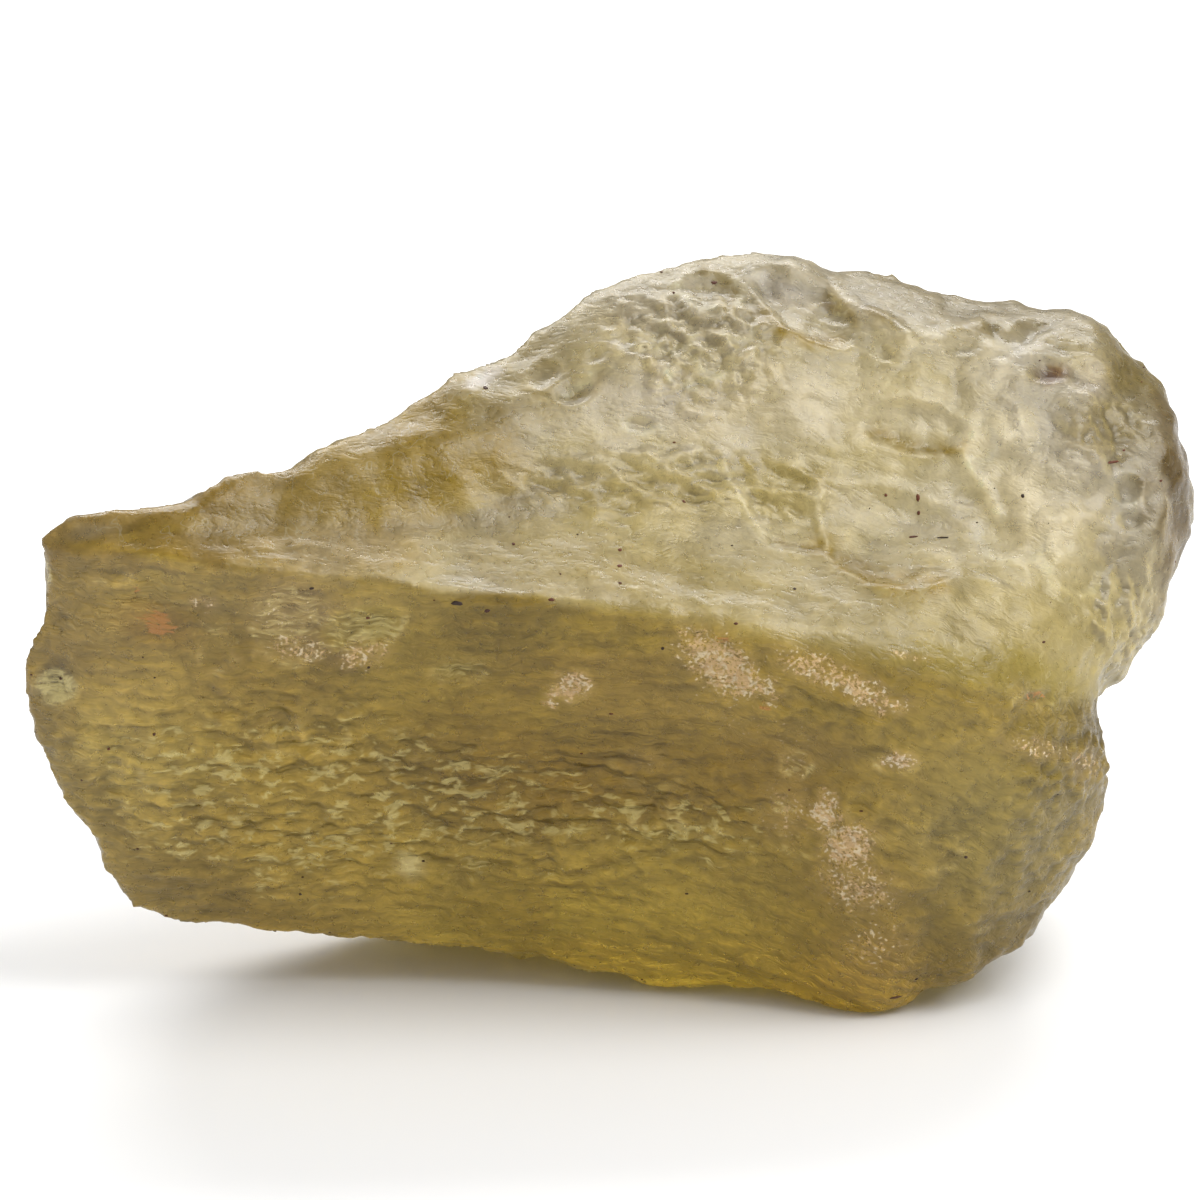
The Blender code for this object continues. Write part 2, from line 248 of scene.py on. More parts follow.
# Where each kind of texture lies: (across, up, half width, half height, turn, soft edge)
CRUST = ((12.0, 80.5, 10.5, 7.0, -20, 0.4), (60.5, 70.5, 4.5, 4.0, -30, 0.6))
GROOVES = ((7.0, 64.3, 19.0, 4.2, 0, 0.45), (22.0, 63.5, 6.0, 4.0, -15, 0.5))
COBBLES = ((-3.0, 46.0, 12.0, 4.0, -4, 0.5), (20.0, 39.0, 14.0, 8.0, -12, 0.6))
SCALES = ((-36.0, 28.0, 30.0, 12.0, -4, 0.5), (0.0, 24.0, 24.0, 8.0, 0, 0.6))
CHALKY_GROUND = (
    (14.0, 43.4, 6.0, 3.8, -28, 0.4), (30.0, 20.0, 5.5, 9.0, 15, 0.5), (28.0, 37.0, 9.0, 3.0, -14, 0.6),
)
LUMPS = ((48.0, 25.0, 18.0, 15.0, 20, 0.5),)
HAMMERED = ((50.0, 64.0, 22.0, 17.0, 0, 0.4), (30.0, 76.0, 14.0, 9.0, -25, 0.5))
FLAKY = (
    (-30.0, 27.0, 30.0, 9.0, -6, 0.5), (8.0, 23.0, 16.0, 4.0, 0, 0.6), (-42.0, 22.0, 16.0, 6.0, -10, 0.6),
)
RIM_BITES = ((56.0, 30.5, 6.0, 4.0, 15, 0.4), (62.0, 47.0, 5.0, 6.0, 0, 0.5))

# How many times longer than wide the flow lines and the scales are
LINE_STRETCH, SCALE_STRETCH = 6.0, 2.4


def spread(place, patches):
    """1 in any of the patches, fading to 0 outside them."""
    return np.max([patch(place, *spec) for spec in patches], axis=0)


def hollow(place, across, up, wide, high, turn, depth, crisp, lean):
    """A wind-cut hollow with a faint lip and one side steeper than the other."""
    u, v = turned(place, (across, up), (wide, high), turn)
    r = np.hypot(u, v)
    bowl = np.maximum(1 - r * r, 0) ** crisp * (1 - lean * v)
    lip = 0.12 * np.exp(-(((r - 1.07) / 0.13) ** 2))
    return depth * (lip - bowl)


def along_flow(points, place, stretch):
    """Points squeezed along the flow of the glass, so that noise on them makes long streaks."""
    drop = 0.02 + 0.30 * ease_between(place[:, 0], 5, 50)
    streaky = points.copy()
    streaky[:, 2] += drop * points[:, 0]
    streaky[:, 0] /= stretch
    return streaky


def flow_relief(points, place, loose, lower, upper, wander):
    """Flow lines, shell-like scales and chips that follow the flow of the glass."""
    lines = noise(along_flow(points, place, LINE_STRETCH), 1.1, 50)
    near_crest = np.exp(-(((above_crest(place) - 3.0) / 4.0) ** 2))
    relief = (0.18 * lower + 0.10 * upper * near_crest) * lines

    scaly = spread(loose, SCALES)
    bent = along_flow(points + 1.4 * wander[:, :1], place, SCALE_STRETCH)
    scale, _ = cells(bent, 1.9, 51)
    steps = rough_noise(bent, 2.0, 54, 3)
    relief += lower * scaly * (0.35 * (scale - 0.5) + 0.5 * steps)
    chips = rough_noise(along_flow(points + 1.0 * wander[:, 1:], place, 1.6), 1.2, 57, 2)
    return relief + lower * (0.10 + 0.22 * scaly) * chips


def ground_relief(points, place, loose, lower, upper):
    """The crusted, grooved, cobbled, chalky, hammered, lumpy and bitten places."""
    relief = spread(loose, CRUST) * (0.6 * rough_noise(points, 2.0, 60, 3) + 0.4 * creases(points, 1.7, 61))
    relief += spread(loose, GROOVES) * 0.65 * rough_noise(along_flow(points, place, 2.0), 1.9, 62, 3)
    stone, next_stone = cells(points, 2.0, 64)
    relief += lower * spread(loose, COBBLES) * 0.45 * np.minimum(next_stone - stone, 0.5)
    relief += spread(loose, CHALKY_GROUND) * 0.45 * rough_noise(points, 1.7, 66, 2)
    hammered = 0.45 * noise(points, 4.8, 68) + 0.4 * creases(points, 3.4, 69)
    relief += upper * spread(loose, HAMMERED) * hammered
    lumpy = 0.45 * noise(points, 3.6, 70) + 0.3 * creases(points, 2.0, 71)
    relief += lower * spread(loose, LUMPS) * lumpy
    return relief + spread(loose, RIM_BITES) * 0.6 * rough_noise(points, 1.6, 73, 2)


def front_relief(points, place):
    """Relief that is placed on the front view."""
    upper = ease_between(above_crest(place), -1.5, 1.5)
    lower = 1 - upper
    wander = np.stack((noise(points, 4.0, 40), noise(points, 4.0, 41)), axis=1)
    loose = place + 1.2 * wander
    relief = np.zeros(len(points))
    for spec in HOLLOWS:
        relief += hollow(place + 0.35 * wander, *spec)
    for line, width, height in FOLDS:
        relief += height * np.exp(-((line_distance(place + 0.6 * wander, line) / width) ** 2))
    relief += flow_relief(points, place, loose, lower, upper, wander)
    return relief + ground_relief(points, place, loose, lower, upper)


# Hollows on the hidden sides: (how many, radius, depth). They keep clear of the resting spot
HIDDEN_HOLLOWS = ((18, 9.0, 2.0), (60, 4.6, 1.1), (120, 2.4, 0.35))
LOWEST_HOLLOW = 4.0
HOLLOW_SEED = 11
# The relief fades in over this height, so that the lump still rests flat
RESTING_FADE = 1.6


def hidden_relief(points, toward):
    """Hollows scattered over the sides that the front view doesn't show."""
    random = np.random.default_rng(HOLLOW_SEED)
    hidden = np.flatnonzero((toward < -0.1) & (points[:, 2] > LOWEST_HOLLOW))
    low, high = points[hidden].min(axis=0), points[hidden].max(axis=0)
    relief = np.zeros(len(points))
    for count, radius, depth in HIDDEN_HOLLOWS:
        for aim in random.uniform(low, high, (count, 3)):
            centre = hidden[np.argmin(np.linalg.norm(points[hidden] - aim, axis=1))]
            size = radius * random.uniform(0.7, 1.25)
            flatten = random.uniform(0.75, 1.3)
            offset = (points - points[centre]) * (1, 1, flatten) / size
            r = np.linalg.norm(offset, axis=1)
            lean = 1 + 0.6 * offset[:, 2]
            lip = 0.08 * np.exp(-(((r - 1.06) / 0.14) ** 2))
            relief += depth * (lip - np.maximum(1 - r * r, 0) ** 1.2 * lean)
    streaks = points.copy()
    streaks[:, 0] /= 4.0
    relief += 0.18 * noise(streaks, 1.6, 80) + 0.5 * noise(points, 4.5, 81) + 0.3 * creases(points, 3.0, 82)
    return relief


def worn(points, normals):
    """Points of the skin moved along their normals to carry all of its relief."""
    place = on_sheet(points)
    toward = -(normals @ AWAY)
    front = ease_between(toward, -0.12, 0.12)
    edge = np.exp(-((toward / 0.3) ** 2))
    relief = 0.7 * noise(points, 12.0, 1) + 0.3 * noise(points, 5.2, 2) + 0.1 * noise(points, 2.4, 3)
    relief += edge * (0.55 * noise(points, 3.6, 5) + 0.25 * noise(points, 1.7, 6))
    relief += front * front_relief(points, place)
    relief += (1 - front) * hidden_relief(points, toward)
    relief *= ease_between(points[:, 2], 0.0, RESTING_FADE)
    moved = points + relief[:, None] * normals
    moved[:, 2] = np.maximum(moved[:, 2], 0.0)
    return moved


# Meshes

def positions(mesh):
    """The mesh's vertices as an array, in mm."""
    values = np.zeros(len(mesh.vertices) * 3)
    mesh.vertices.foreach_get("co", values)
    return values.reshape(-1, 3) / MM


def directions(mesh):
    """The mesh's vertex normals as an array."""
    values = np.zeros(len(mesh.vertices) * 3)
    mesh.vertex_normals.foreach_get("vector", values)
    return values.reshape(-1, 3)


def move_to(mesh, points):
    """Put the mesh's vertices at points, in mm."""
    mesh.vertices.foreach_set("co", (points * MM).ravel())
    mesh.update()


def apply_modifiers(piece):
    """The piece with its modifiers applied."""
    graph = bpy.context.evaluated_depsgraph_get()
    mesh = bpy.data.meshes.new_from_object(piece.evaluated_get(graph))
    piece.modifiers.clear()
    piece.data = mesh


def fine_copy():
    """A fine, even copy of the CAD solid."""
    piece = bpy.data.objects.new(PIECE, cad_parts[NODE].data.copy())
    bpy.context.scene.collection.objects.link(piece)
    weld = piece.modifiers.new("weld", "WELD")
    weld.merge_threshold = WELD_DISTANCE * MM
    remesh = piece.modifiers.new("remesh", "REMESH")
    remesh.mode = "VOXEL"
    remesh.voxel_size = VOXEL * MM
    smooth = piece.modifiers.new("smooth", "SMOOTH")
    smooth.factor = 0.5
    smooth.iterations = SMOOTH_STEPS
    apply_modifiers(piece)
    return piece


def thin_out(piece):
    """Fewer triangles where the front view doesn't look, on the same surface."""
    surface = BVHTree.FromPolygons(
        [vertex.co for vertex in piece.data.vertices], [face.vertices for face in piece.data.polygons]
    )
    normals = directions(piece.data)
    hidden = normals @ AWAY > HIDDEN_FROM
    # A rough skin loses its triangles evenly; a smooth one would keep hardly any on its flat parts
    shake = np.random.default_rng(THINNING_SEED).uniform(-ROUGHENING, ROUGHENING, len(normals)) * hidden
    move_to(piece.data, positions(piece.data) + shake[:, None] * normals)
    group = piece.vertex_groups.new(name="hidden")
    group.add(np.flatnonzero(hidden).tolist(), 1.0, "REPLACE")
    triangles = sum(len(face.vertices) - 2 for face in piece.data.polygons)
    decimate = piece.modifiers.new("thin", "DECIMATE")
    decimate.ratio = min(1.0, MOST_TRIANGLES / triangles)
    decimate.vertex_group = group.name
    decimate.vertex_group_factor = 1.0
    apply_modifiers(piece)
    piece.vertex_groups.clear()
    for vertex in piece.data.vertices:
        vertex.co = surface.find_nearest(vertex.co)[0]


def smoothed(mesh, values, steps):
    """Values of the mesh's vertices, evened out with their neighbours' a number of times."""
    edges = np.zeros(len(mesh.edges) * 2, dtype=np.int64)
    mesh.edges.foreach_get("vertices", edges)
    edges = edges.reshape(-1, 2)
    here = np.concatenate((edges[:, 0], edges[:, 1]))
    there = np.concatenate((edges[:, 1], edges[:, 0]))
    count = np.bincount(here, minlength=len(values))[:, None]
    for _ in range(steps):
        total = [np.bincount(here, values[there, axis], len(values)) for axis in range(values.shape[1])]
        values = 0.5 * values + 0.5 * np.stack(total, axis=1) / count
    return values


# Colours, as they look on the front in screen values, with the studio's light in them: own_colour takes out
# one light level for each face, so sheen, glow and shade that change across a face stay painted in. Rows:
# (across, up, half width, half height, turn, soft edge, strength, colour). Later rows lie over earlier ones
# The upper face's base is painted paler than the lower face's: partly milky glass, partly painted overhead
# light and sheen. The lower face's base is its colour as seen in shade
UPPER_BASE_WITH_SHEEN = (184, 172, 132)
LOWER_BASE_IN_SHADE = (137, 118, 66)
COLOURS_AND_PAINTED_LIGHT = (
    # The tan left end of the upper face, painted without the sheen that the rest of the upper face carries,
    # and a painted amber glow where light shines through its thin glass
    (-45.0, 60.0, 30.0, 7.0, 8, 0.5, 0.95, (158, 132, 78)),
    (-28.0, 65.0, 16.0, 6.0, 22, 0.5, 0.9, (174, 150, 90)),
    (-18.5, 68.5, 8.5, 7.5, 30, 0.6, 0.95, (158, 134, 50)),
    (-10.0, 76.0, 9.0, 4.0, 32, 0.6, 0.6, (160, 143, 92)),
    (-30.0, 56.4, 9.0, 3.6, -4, 0.4, 0.85, (180, 160, 112)),
    (-62.0, 58.4, 5.0, 1.6, 12, 0.5, 0.6, (172, 150, 104)),
    # The olive hollow above the crest and the ochre band, painted darker as shade: they catch less of the
    # sheen
    (-4.0, 57.0, 14.0, 3.6, 0, 0.5, 0.6, (181, 166, 116)),
    (10.0, 53.0, 16.0, 3.6, -8, 0.5, 0.7, (168, 152, 100)),
    (8.0, 62.4, 18.0, 3.0, 0, 0.5, 0.5, (170, 154, 104)),
    (22.0, 66.0, 8.0, 1.4, -12, 0.5, 0.6, (156, 140, 92)),
    # The pale sheen
    (16.0, 73.0, 20.0, 4.6, 0, 0.5, 0.8, (202, 192, 162)),
    (50.0, 64.0, 13.0, 10.0, 0, 0.6, 0.8, (204, 195, 165)),
    (12.0, 80.0, 11.0, 7.0, -20, 0.4, 0.5, (182, 169, 132)),
    # The taupe rim of the thick end, painted darker as the shade that the glass's edge shows there
    (43.0, 86.2, 17.0, 3.6, -11, 0.4, 0.9, (148, 134, 96)),
    (66.0, 79.0, 6.5, 6.0, -50, 0.5, 0.9, (136, 120, 76)),
    (70.0, 62.0, 4.0, 16.0, 2, 0.5, 0.95, (118, 102, 60)),
    (61.0, 70.6, 4.4, 3.8, -30, 0.6, 0.6, (150, 134, 92)),
    # The rounded fold under the thick end, with painted shade that deepens as it rolls under
    (45.0, 49.0, 18.0, 3.6, -8, 0.6, 0.6, (168, 154, 106)),
    (46.0, 42.6, 16.0, 3.0, -12, 0.6, 0.8, (150, 136, 82)),
    # The lower face, with painted glow: paler towards its thin left and bottom edges, where light shines
    # through the glass, and darker across its middle
    (-60.0, 46.0, 10.0, 10.0, 0, 0.6, 0.9, (172, 148, 86)),
    (-58.0, 27.0, 7.0, 14.0, 25, 0.6, 0.8, (168, 146, 82)),
    (-38.0, 50.5, 16.0, 3.0, -4, 0.6, 0.7, (160, 138, 82)),
    (-36.0, 12.5, 18.0, 3.4, -10, 0.6, 0.8, (172, 148, 84)),
    (-50.0, 42.0, 20.0, 9.0, 0, 0.6, 0.8, (150, 127, 74)),
    (10.0, 29.0, 22.0, 6.5, 0, 0.6, 0.9, (110, 90, 38)),
    (2.0, 9.0, 34.0, 7.0, -4, 0.6, 0.85, (166, 142, 66)),
    (-40.0, 20.0, 18.0, 12.0, -6, 0.6, 0.7, (146, 124, 68)),
    (-14.0, 30.0, 16.0, 7.0, 0, 0.6, 0.6, (118, 96, 48)),
    (2.0, 39.5, 10.0, 4.5, -10, 0.6, 0.6, (132, 108, 70)),
    (42.0, 28.0, 12.0, 9.0, 20, 0.6, 0.6, (147, 128, 74)),
    (48.0, 22.0, 9.0, 9.0, 25, 0.6, 0.7, (138, 124, 76)),
    (56.0, 31.0, 6.5, 5.5, 15, 0.6, 0.8, (116, 102, 60)),
    (32.0, 4.0, 9.0, 5.0, 10, 0.6, 0.7, (160, 132, 64)),
)

# Pale, dark and stained marks on the front, and painted highlights, in the same form
MARKS_AND_HIGHLIGHTS = (
    # Painted highlights on the glossy thick end
    (18.9, 89.0, 1.5, 0.8, -20, 0.5, 0.9, (222, 214, 178)),
    (43.8, 69.4, 1.3, 1.1, 20, 0.6, 0.8, (224, 214, 180)),
    (49.0, 79.0, 5.0, 1.8, 20, 0.7, 0.6, (214, 204, 168)),
    (62.6, 60.6, 2.6, 1.2, 20, 0.6, 0.7, (212, 202, 164)),
    (67.0, 63.4, 1.2, 2.0, 0, 0.6, 0.7, (206, 194, 156)),
    (59.0, 76.8, 2.0, 1.9, 0, 0.6, 0.6, (198, 184, 150)),
    # A brown stain and a white chip
    (54.2, 77.3, 1.9, 1.2, 10, 0.7, 0.85, (108, 80, 58)),
    (-13.8, 76.9, 2.2, 0.9, 30, 0.5, 0.95, (224, 214, 184)),
    # Painted highlights on bright facets in the hollows and at the left tip
    (37.2, 71.8, 4.8, 1.5, -4, 0.4, 0.8, (206, 196, 164)),
    (30.0, 62.0, 4.0, 2.4, -20, 0.6, 0.6, (200, 190, 160)),
    (40.0, 59.6, 5.0, 2.6, -10, 0.6, 0.5, (198, 188, 156)),
    (22.6, 86.6, 4.6, 1.6, -28, 0.5, 0.6, (204, 194, 164)),
    (-61.0, 58.6, 2.6, 0.9, 12, 0.7, 0.6, (186, 168, 124)),
    # Chips, frosted spots, scallops, a rust halo and dark pits
    (-22.8, 18.4, 1.6, 1.3, -40, 0.7, 0.8, (196, 182, 140)),
    (-65.4, 39.6, 2.6, 2.2, -15, 0.35, 0.6, (166, 156, 118)),
    (-67.2, 54.0, 1.2, 2.2, 15, 0.4, 0.7, (178, 168, 142)),
    (-37.0, 47.5, 4.7, 5.2, 10, 0.12, 0.5, (156, 136, 88)),
    (-28.6, 47.0, 5.0, 2.5, 12, 0.12, 0.7, (162, 142, 76)),
    (-53.4, 47.4, 4.4, 2.2, -15, 0.8, 0.5, (142, 106, 56)),
    (-16.8, 41.8, 3.4, 1.7, 0, 0.2, 0.5, (156, 138, 84)),
    (32.4, 84.9, 1.8, 0.8, -25, 0.6, 0.5, (128, 110, 76)),
    (28.0, 85.1, 1.7, 0.5, -30, 0.5, 0.6, (120, 100, 64)),
)

# Lines on the front: (points, width, strength, colour). The pale lines are painted highlights along raised
# folds and the rims of hollows; the dark lines are painted shade on the steep lower sides of hollows and in
# a sunken fold
HIGHLIGHT_AND_SHADE_LINES = (
    (((14.6, 66.4), (16.6, 63.6), (18.4, 60.2), (19.9, 57.8)), 1.0, 0.6, (218, 208, 168)),
    (((19.9, 57.8), (22.7, 56.8), (26.3, 56.4)), 0.35, 0.6, (134, 112, 64)),
    (((26.0, 63.2), (26.2, 60.0), (27.4, 57.2)), 0.30, 0.7, (226, 216, 180)),
    (((26.8, 57.0), (29.6, 54.2), (35.0, 52.2), (40.6, 52.0)), 1.7, 0.95, (152, 130, 62)),
    (((19.4, 84.6), (22.0, 82.4), (25.0, 81.2), (28.4, 81.2)), 1.3, 1.0, (144, 124, 58)),
    (((33.4, 70.4), (36.0, 68.9), (40.0, 68.2), (43.6, 68.4)), 1.1, 1.0, (146, 126, 62)),
    (((12.0, 90.0), (15.2, 89.0), (16.2, 86.8), (14.8, 84.8)), 0.8, 0.9, (140, 122, 64)),
    (((10.6, 85.6), (13.0, 84.6), (15.0, 84.8)), 0.35, 0.7, (216, 204, 160)),
    (((17.6, 88.6), (20.6, 84.8), (24.6, 82.4), (28.6, 82.4)), 0.4, 0.6, (212, 202, 162)),
    (((27.6, 86.6), (29.6, 85.4), (30.6, 83.6)), 0.5, 0.7, (140, 120, 66)),
    (((-7.8, 75.2), (-4.4, 73.9), (-0.8, 75.4), (0.4, 78.0)), 0.5, 0.6, (142, 124, 76)),
    (((23.0, 90.2), (28.0, 87.4), (31.5, 84.6), (36.5, 81.4), (42.0, 80.6)), 0.5, 0.5, (214, 202, 162)),
    (((43.4, 67.6), (45.6, 64.0), (47.4, 60.6)), 0.6, 0.6, (216, 206, 168)),
)

# Pale rims of shallow scallops on the front: (across, up, half width, half height, turn, strength)
RIMS = (
    (-37.0, 47.5, 4.8, 5.0, 10, 0.8), (-28.6, 47.0, 5.0, 2.6, 12, 0.9), (-42.9, 45.2, 2.2, 2.1, 0, 0.6),
    (-46.2, 44.0, 2.0, 2.3, 0, 0.5), (-46.4, 47.6, 1.5, 1.0, 0, 0.6), (-16.8, 41.8, 3.2, 1.4, 0, 0.6),
    (-33.0, 34.4, 2.4, 3.0, 30, 0.7), (-38.0, 34.2, 2.2, 2.6, 30, 0.6), (-24.0, 32.4, 2.6, 2.0, 20, 0.4),
    (23.5, 30.6, 1.8, 1.7, 0, 0.8), (6.0, 24.6, 2.4, 1.7, 20, 0.8), (12.0, 24.0, 3.4, 1.9, -15, 0.8),
    (35.5, 30.8, 2.2, 1.4, 0, 0.6), (24.6, 22.8, 3.0, 3.4, 0, 0.5), (33.4, 24.6, 3.6, 3.0, -20, 0.4),
    (40.4, 19.8, 3.0, 2.2, 10, 0.4), (52.6, 38.6, 2.8, 1.3, -6, 0.6), (5.5, 30.0, 4.2, 2.2, -20, 0.4),
    (-3.4, 40.0, 2.2, 1.9, 0, 0.5), (46.0, 12.4, 2.4, 1.6, 30, 0.4), (-58.6, 53.2, 2.2, 1.2, 0, 0.4),
    (4.8, 71.4, 2.2, 1.0, -5, 0.6), (-4.8, 76.8, 3.6, 2.2, 25, 0.6), (13.0, 87.4, 3.8, 2.2, -12, 0.6),
    (9.0, 81.6, 2.4, 1.5, 20, 0.5), (13.6, 79.0, 2.6, 1.6, -30, 0.5), (16.8, 82.6, 1.8, 1.3, 10, 0.5),
    (10.6, 77.4, 2.4, 1.4, -10, 0.5), (5.6, 82.4, 2.2, 1.3, 40, 0.4), (63.4, 63.6, 2.0, 2.1, 10, 0.7),
    (45.4, 69.4, 1.8, 2.4, 30, 0.5), (57.0, 53.2, 3.4, 2.2, -20, 0.5), (49.4, 57.4, 4.0, 2.6, -10, 0.4),
)
RIM_WIDTH = 0.45

# Frosted spots on the front: (across, up, half width, half height, turn, soft edge, strength)
FROSTED_SPOTS = (
    (-65.2, 39.8, 2.7, 2.2, -15, 0.4, 0.9), (-67.2, 54.0, 1.2, 2.2, 15, 0.4, 0.9),
    (-22.8, 18.6, 1.7, 1.4, -40, 0.7, 0.9), (-28.6, 46.9, 4.6, 2.2, 12, 0.3, 0.62),
    (-37.0, 48.2, 4.4, 4.2, 10, 0.5, 0.58), (-16.8, 41.8, 3.0, 1.2, 0, 0.4, 0.55),
    (57.0, 32.0, 4.0, 2.4, -15, 0.9, 0.35), (23.5, 30.6, 1.5, 1.4, 0, 0.6, 0.6),
)
# Milky places on the front: (across, up, half width, half height, turn, soft edge)
MILKY = (
    (-62.0, 46.0, 14.0, 12.0, 0, 0.5), (-58.0, 27.0, 9.0, 16.0, 25, 0.5), (-38.0, 51.0, 18.0, 4.5, -4, 0.5),
    (-38.0, 12.0, 22.0, 5.0, -10, 0.5), (62.0, 22.0, 9.0, 18.0, -25, 0.5), (46.0, 27.0, 14.0, 14.0, 20, 0.7),
)

# Chalky crust and rust on the front: (across, up, half width, half height, turn, soft edge, strength)
CHALK = (
    (14.2, 42.6, 5.8, 3.2, -35, 0.7, 0.95), (17.0, 40.6, 5.5, 2.0, -20, 0.7, 0.9),
    (26.5, 41.6, 6.2, 2.0, -20, 0.7, 0.8), (31.0, 39.6, 5.0, 1.6, -25, 0.7, 0.8),
    (34.6, 37.6, 3.0, 1.1, 0, 0.7, 0.7), (29.8, 20.6, 3.2, 2.8, 20, 0.7, 1.0),
    (27.0, 24.4, 2.0, 2.8, 0, 0.7, 0.9), (31.0, 15.6, 5.0, 3.2, -20, 0.8, 0.75),
    (22.4, 24.6, 2.5, 3.5, 0, 0.8, 0.55), (33.0, 9.0, 4.2, 4.2, 30, 0.9, 0.55),
    (-36.0, 44.2, 4.5, 1.5, -5, 0.7, 0.7), (-28.6, 43.6, 3.5, 1.5, 10, 0.7, 0.75),
    (-36.8, 48.8, 5.2, 3.8, 0, 0.7, 0.4), (-3.4, 40.0, 2.4, 2.0, 0, 0.3, 0.85),
    (-5.7, 38.3, 1.0, 0.8, 0, 0.4, 0.9), (-47.6, 49.8, 1.8, 1.1, 0, 0.7, 0.7),
    (23.5, 30.6, 2.1, 2.0, 0, 0.6, 0.45), (35.6, 30.9, 2.1, 1.1, 0, 0.4, 0.75),
    (37.2, 43.4, 2.8, 0.6, -8, 0.6, 0.6), (5.5, 31.0, 2.5, 1.2, 0, 0.9, 0.3),
    (52.6, 32.2, 4.2, 1.2, -10, 0.8, 0.6), (58.2, 30.6, 2.0, 2.0, 0, 0.8, 0.6),
    (16.0, 36.4, 6.2, 3.2, -20, 0.9, 0.35), (24.0, 33.6, 6.2, 2.5, -15, 0.9, 0.3),
)
RUST = (
    (-53.2, 47.4, 2.5, 1.3, -25, 0.7, 1.0), (-55.6, 51.6, 0.8, 0.4, 0, 0.6, 0.8),
    (52.4, 38.6, 1.5, 0.8, 5, 0.6, 0.7), (19.6, 37.3, 0.7, 0.5, 0, 0.6, 0.9),
    (31.6, 38.4, 1.6, 0.8, -30, 0.9, 0.5), (14.9, 45.4, 0.9, 0.6, 0, 0.8, 0.7),
    (-3.0, 39.6, 1.2, 0.6, 0, 0.9, 0.35),
)


def linear(colour):
    """A screen colour, 0 to 255, as light from 0 to 1."""
    colour = np.array(colour) / 255
    return np.where(colour <= 0.04045, colour / 12.92, ((colour + 0.055) / 1.055) ** 2.4)


# What the studio adds to and multiplies the skin's own colour by, on each face
UPPER_SHEEN, UPPER_LIGHT = 0.07, np.array((0.73, 0.71, 0.53))
LOWER_SHEEN, LOWER_LIGHT = 0.03, np.array((0.86, 0.86, 0.78))
DARKEST, PALEST = 0.01, 0.9


def own_colour(colour, upper):
    """The skin's own colour where it should look a certain way in the studio's light."""
    seen = linear(colour)
    lit = (seen - UPPER_SHEEN) / UPPER_LIGHT
    shaded = (seen - LOWER_SHEEN) / LOWER_LIGHT
    return np.maximum(shaded + (lit - shaded) * upper[:, None], DARKEST)


def wide_wander(points):
    """A slow shift of places, so that no large painted area has a clean outline."""
    return np.stack((rough_noise(points, 5.0, 90, 3), rough_noise(points, 5.0, 94, 3)), axis=1)


def close_wander(points):
    """A quick shift of places, so that no small mark has a clean outline."""
    return np.stack((noise(points, 1.2, 98), noise(points, 1.2, 99)), axis=1)


def strongest(place, areas):
    """The strongest of the areas, each (across, up, half width, half height, turn, soft edge, strength)."""
    return np.max([strength * patch(place, *area) for *area, strength in areas], axis=0)


def scallop_rims(points, place):
    """How strongly the pale rims of the scallops show."""
    close = close_wander(points)
    ragged = np.clip(0.8 + 1.1 * rough_noise(points, 1.4, 138, 2), 0, 1)
    total = np.zeros(len(points))
    for across, up, wide, high, turn, strength in RIMS:
        u, v = turned(place + 0.5 * close, (across, up), (wide, high), turn)
        inward = (np.hypot(u, v) - 1) * min(wide, high) / RIM_WIDTH
        side = 0.3 + 0.7 * ease_between(-v, -0.4, 0.2)
        total = np.maximum(total, strength * side * np.exp(-(inward ** 2)))
    return total * ragged


def frosting(points, place):
    """How frosted the lower face is: flaked ground, rims of scallops and chipped spots."""
    wander = wide_wander(points)
    bent = along_flow(points + 1.2 * wander[:, :1], place, SCALE_STRETCH)
    flakes = ease_between(rough_noise(bent, 1.3, 130, 3), 0.05, 0.35) * spread(place + 2.2 * wander, FLAKY)
    spots = strongest(place + 0.6 * wander, FROSTED_SPOTS)
    return np.maximum(np.maximum(flakes, scallop_rims(points, place)), spots)


def blended(colour, cover, shade, upper):
    """The skin's colour with another laid over it, as it should look in the studio's light."""
    return colour + cover[:, None] * (own_colour(shade, upper) - colour)


def front_colour(points, place):
    """The skin's colour on the front, with painted sheen, glow, highlights and shade."""
    # Painted shading: the paler upper face fades into the shaded lower face, more gently towards the right,
    # where the crest rolls over
    soft = 0.8 + 2.2 * ease_between(place[:, 0], -15, 35)
    upper = ease_between((above_crest(place) + 0.9 * noise(points, 5.0, 97)) / soft, -1.0, 1.0)
    wander, close = wide_wander(points), close_wander(points)
    colour = blended(own_colour(LOWER_BASE_IN_SHADE, upper * 0), upper, UPPER_BASE_WITH_SHEEN, upper)
    for *area, strength, shade in COLOURS_AND_PAINTED_LIGHT:
        colour = blended(colour, strength * patch(place + 2.2 * wander, *area), shade, upper)
    pale = np.minimum(colour * 1.5 + 0.08, 0.85)
    colour += scallop_rims(points, place)[:, None] * (pale - colour)
    for *area, strength, shade in MARKS_AND_HIGHLIGHTS:
        colour = blended(colour, strength * patch(place + 0.5 * close, *area), shade, upper)
    ragged = np.clip(0.85 + 0.9 * rough_noise(points, 1.6, 136, 2), 0, 1)
    for line, width, strength, shade in HIGHLIGHT_AND_SHADE_LINES:
        distance = line_distance(place + 0.4 * close, line)
        colour = blended(colour, strength * ragged * np.exp(-((distance / width) ** 2)), shade, upper)
    return colour


# Olive, pale and amber glass on the sides that the front view doesn't show
HIDDEN_COLOURS = ((146, 130, 78), (184, 172, 126), (162, 138, 72))


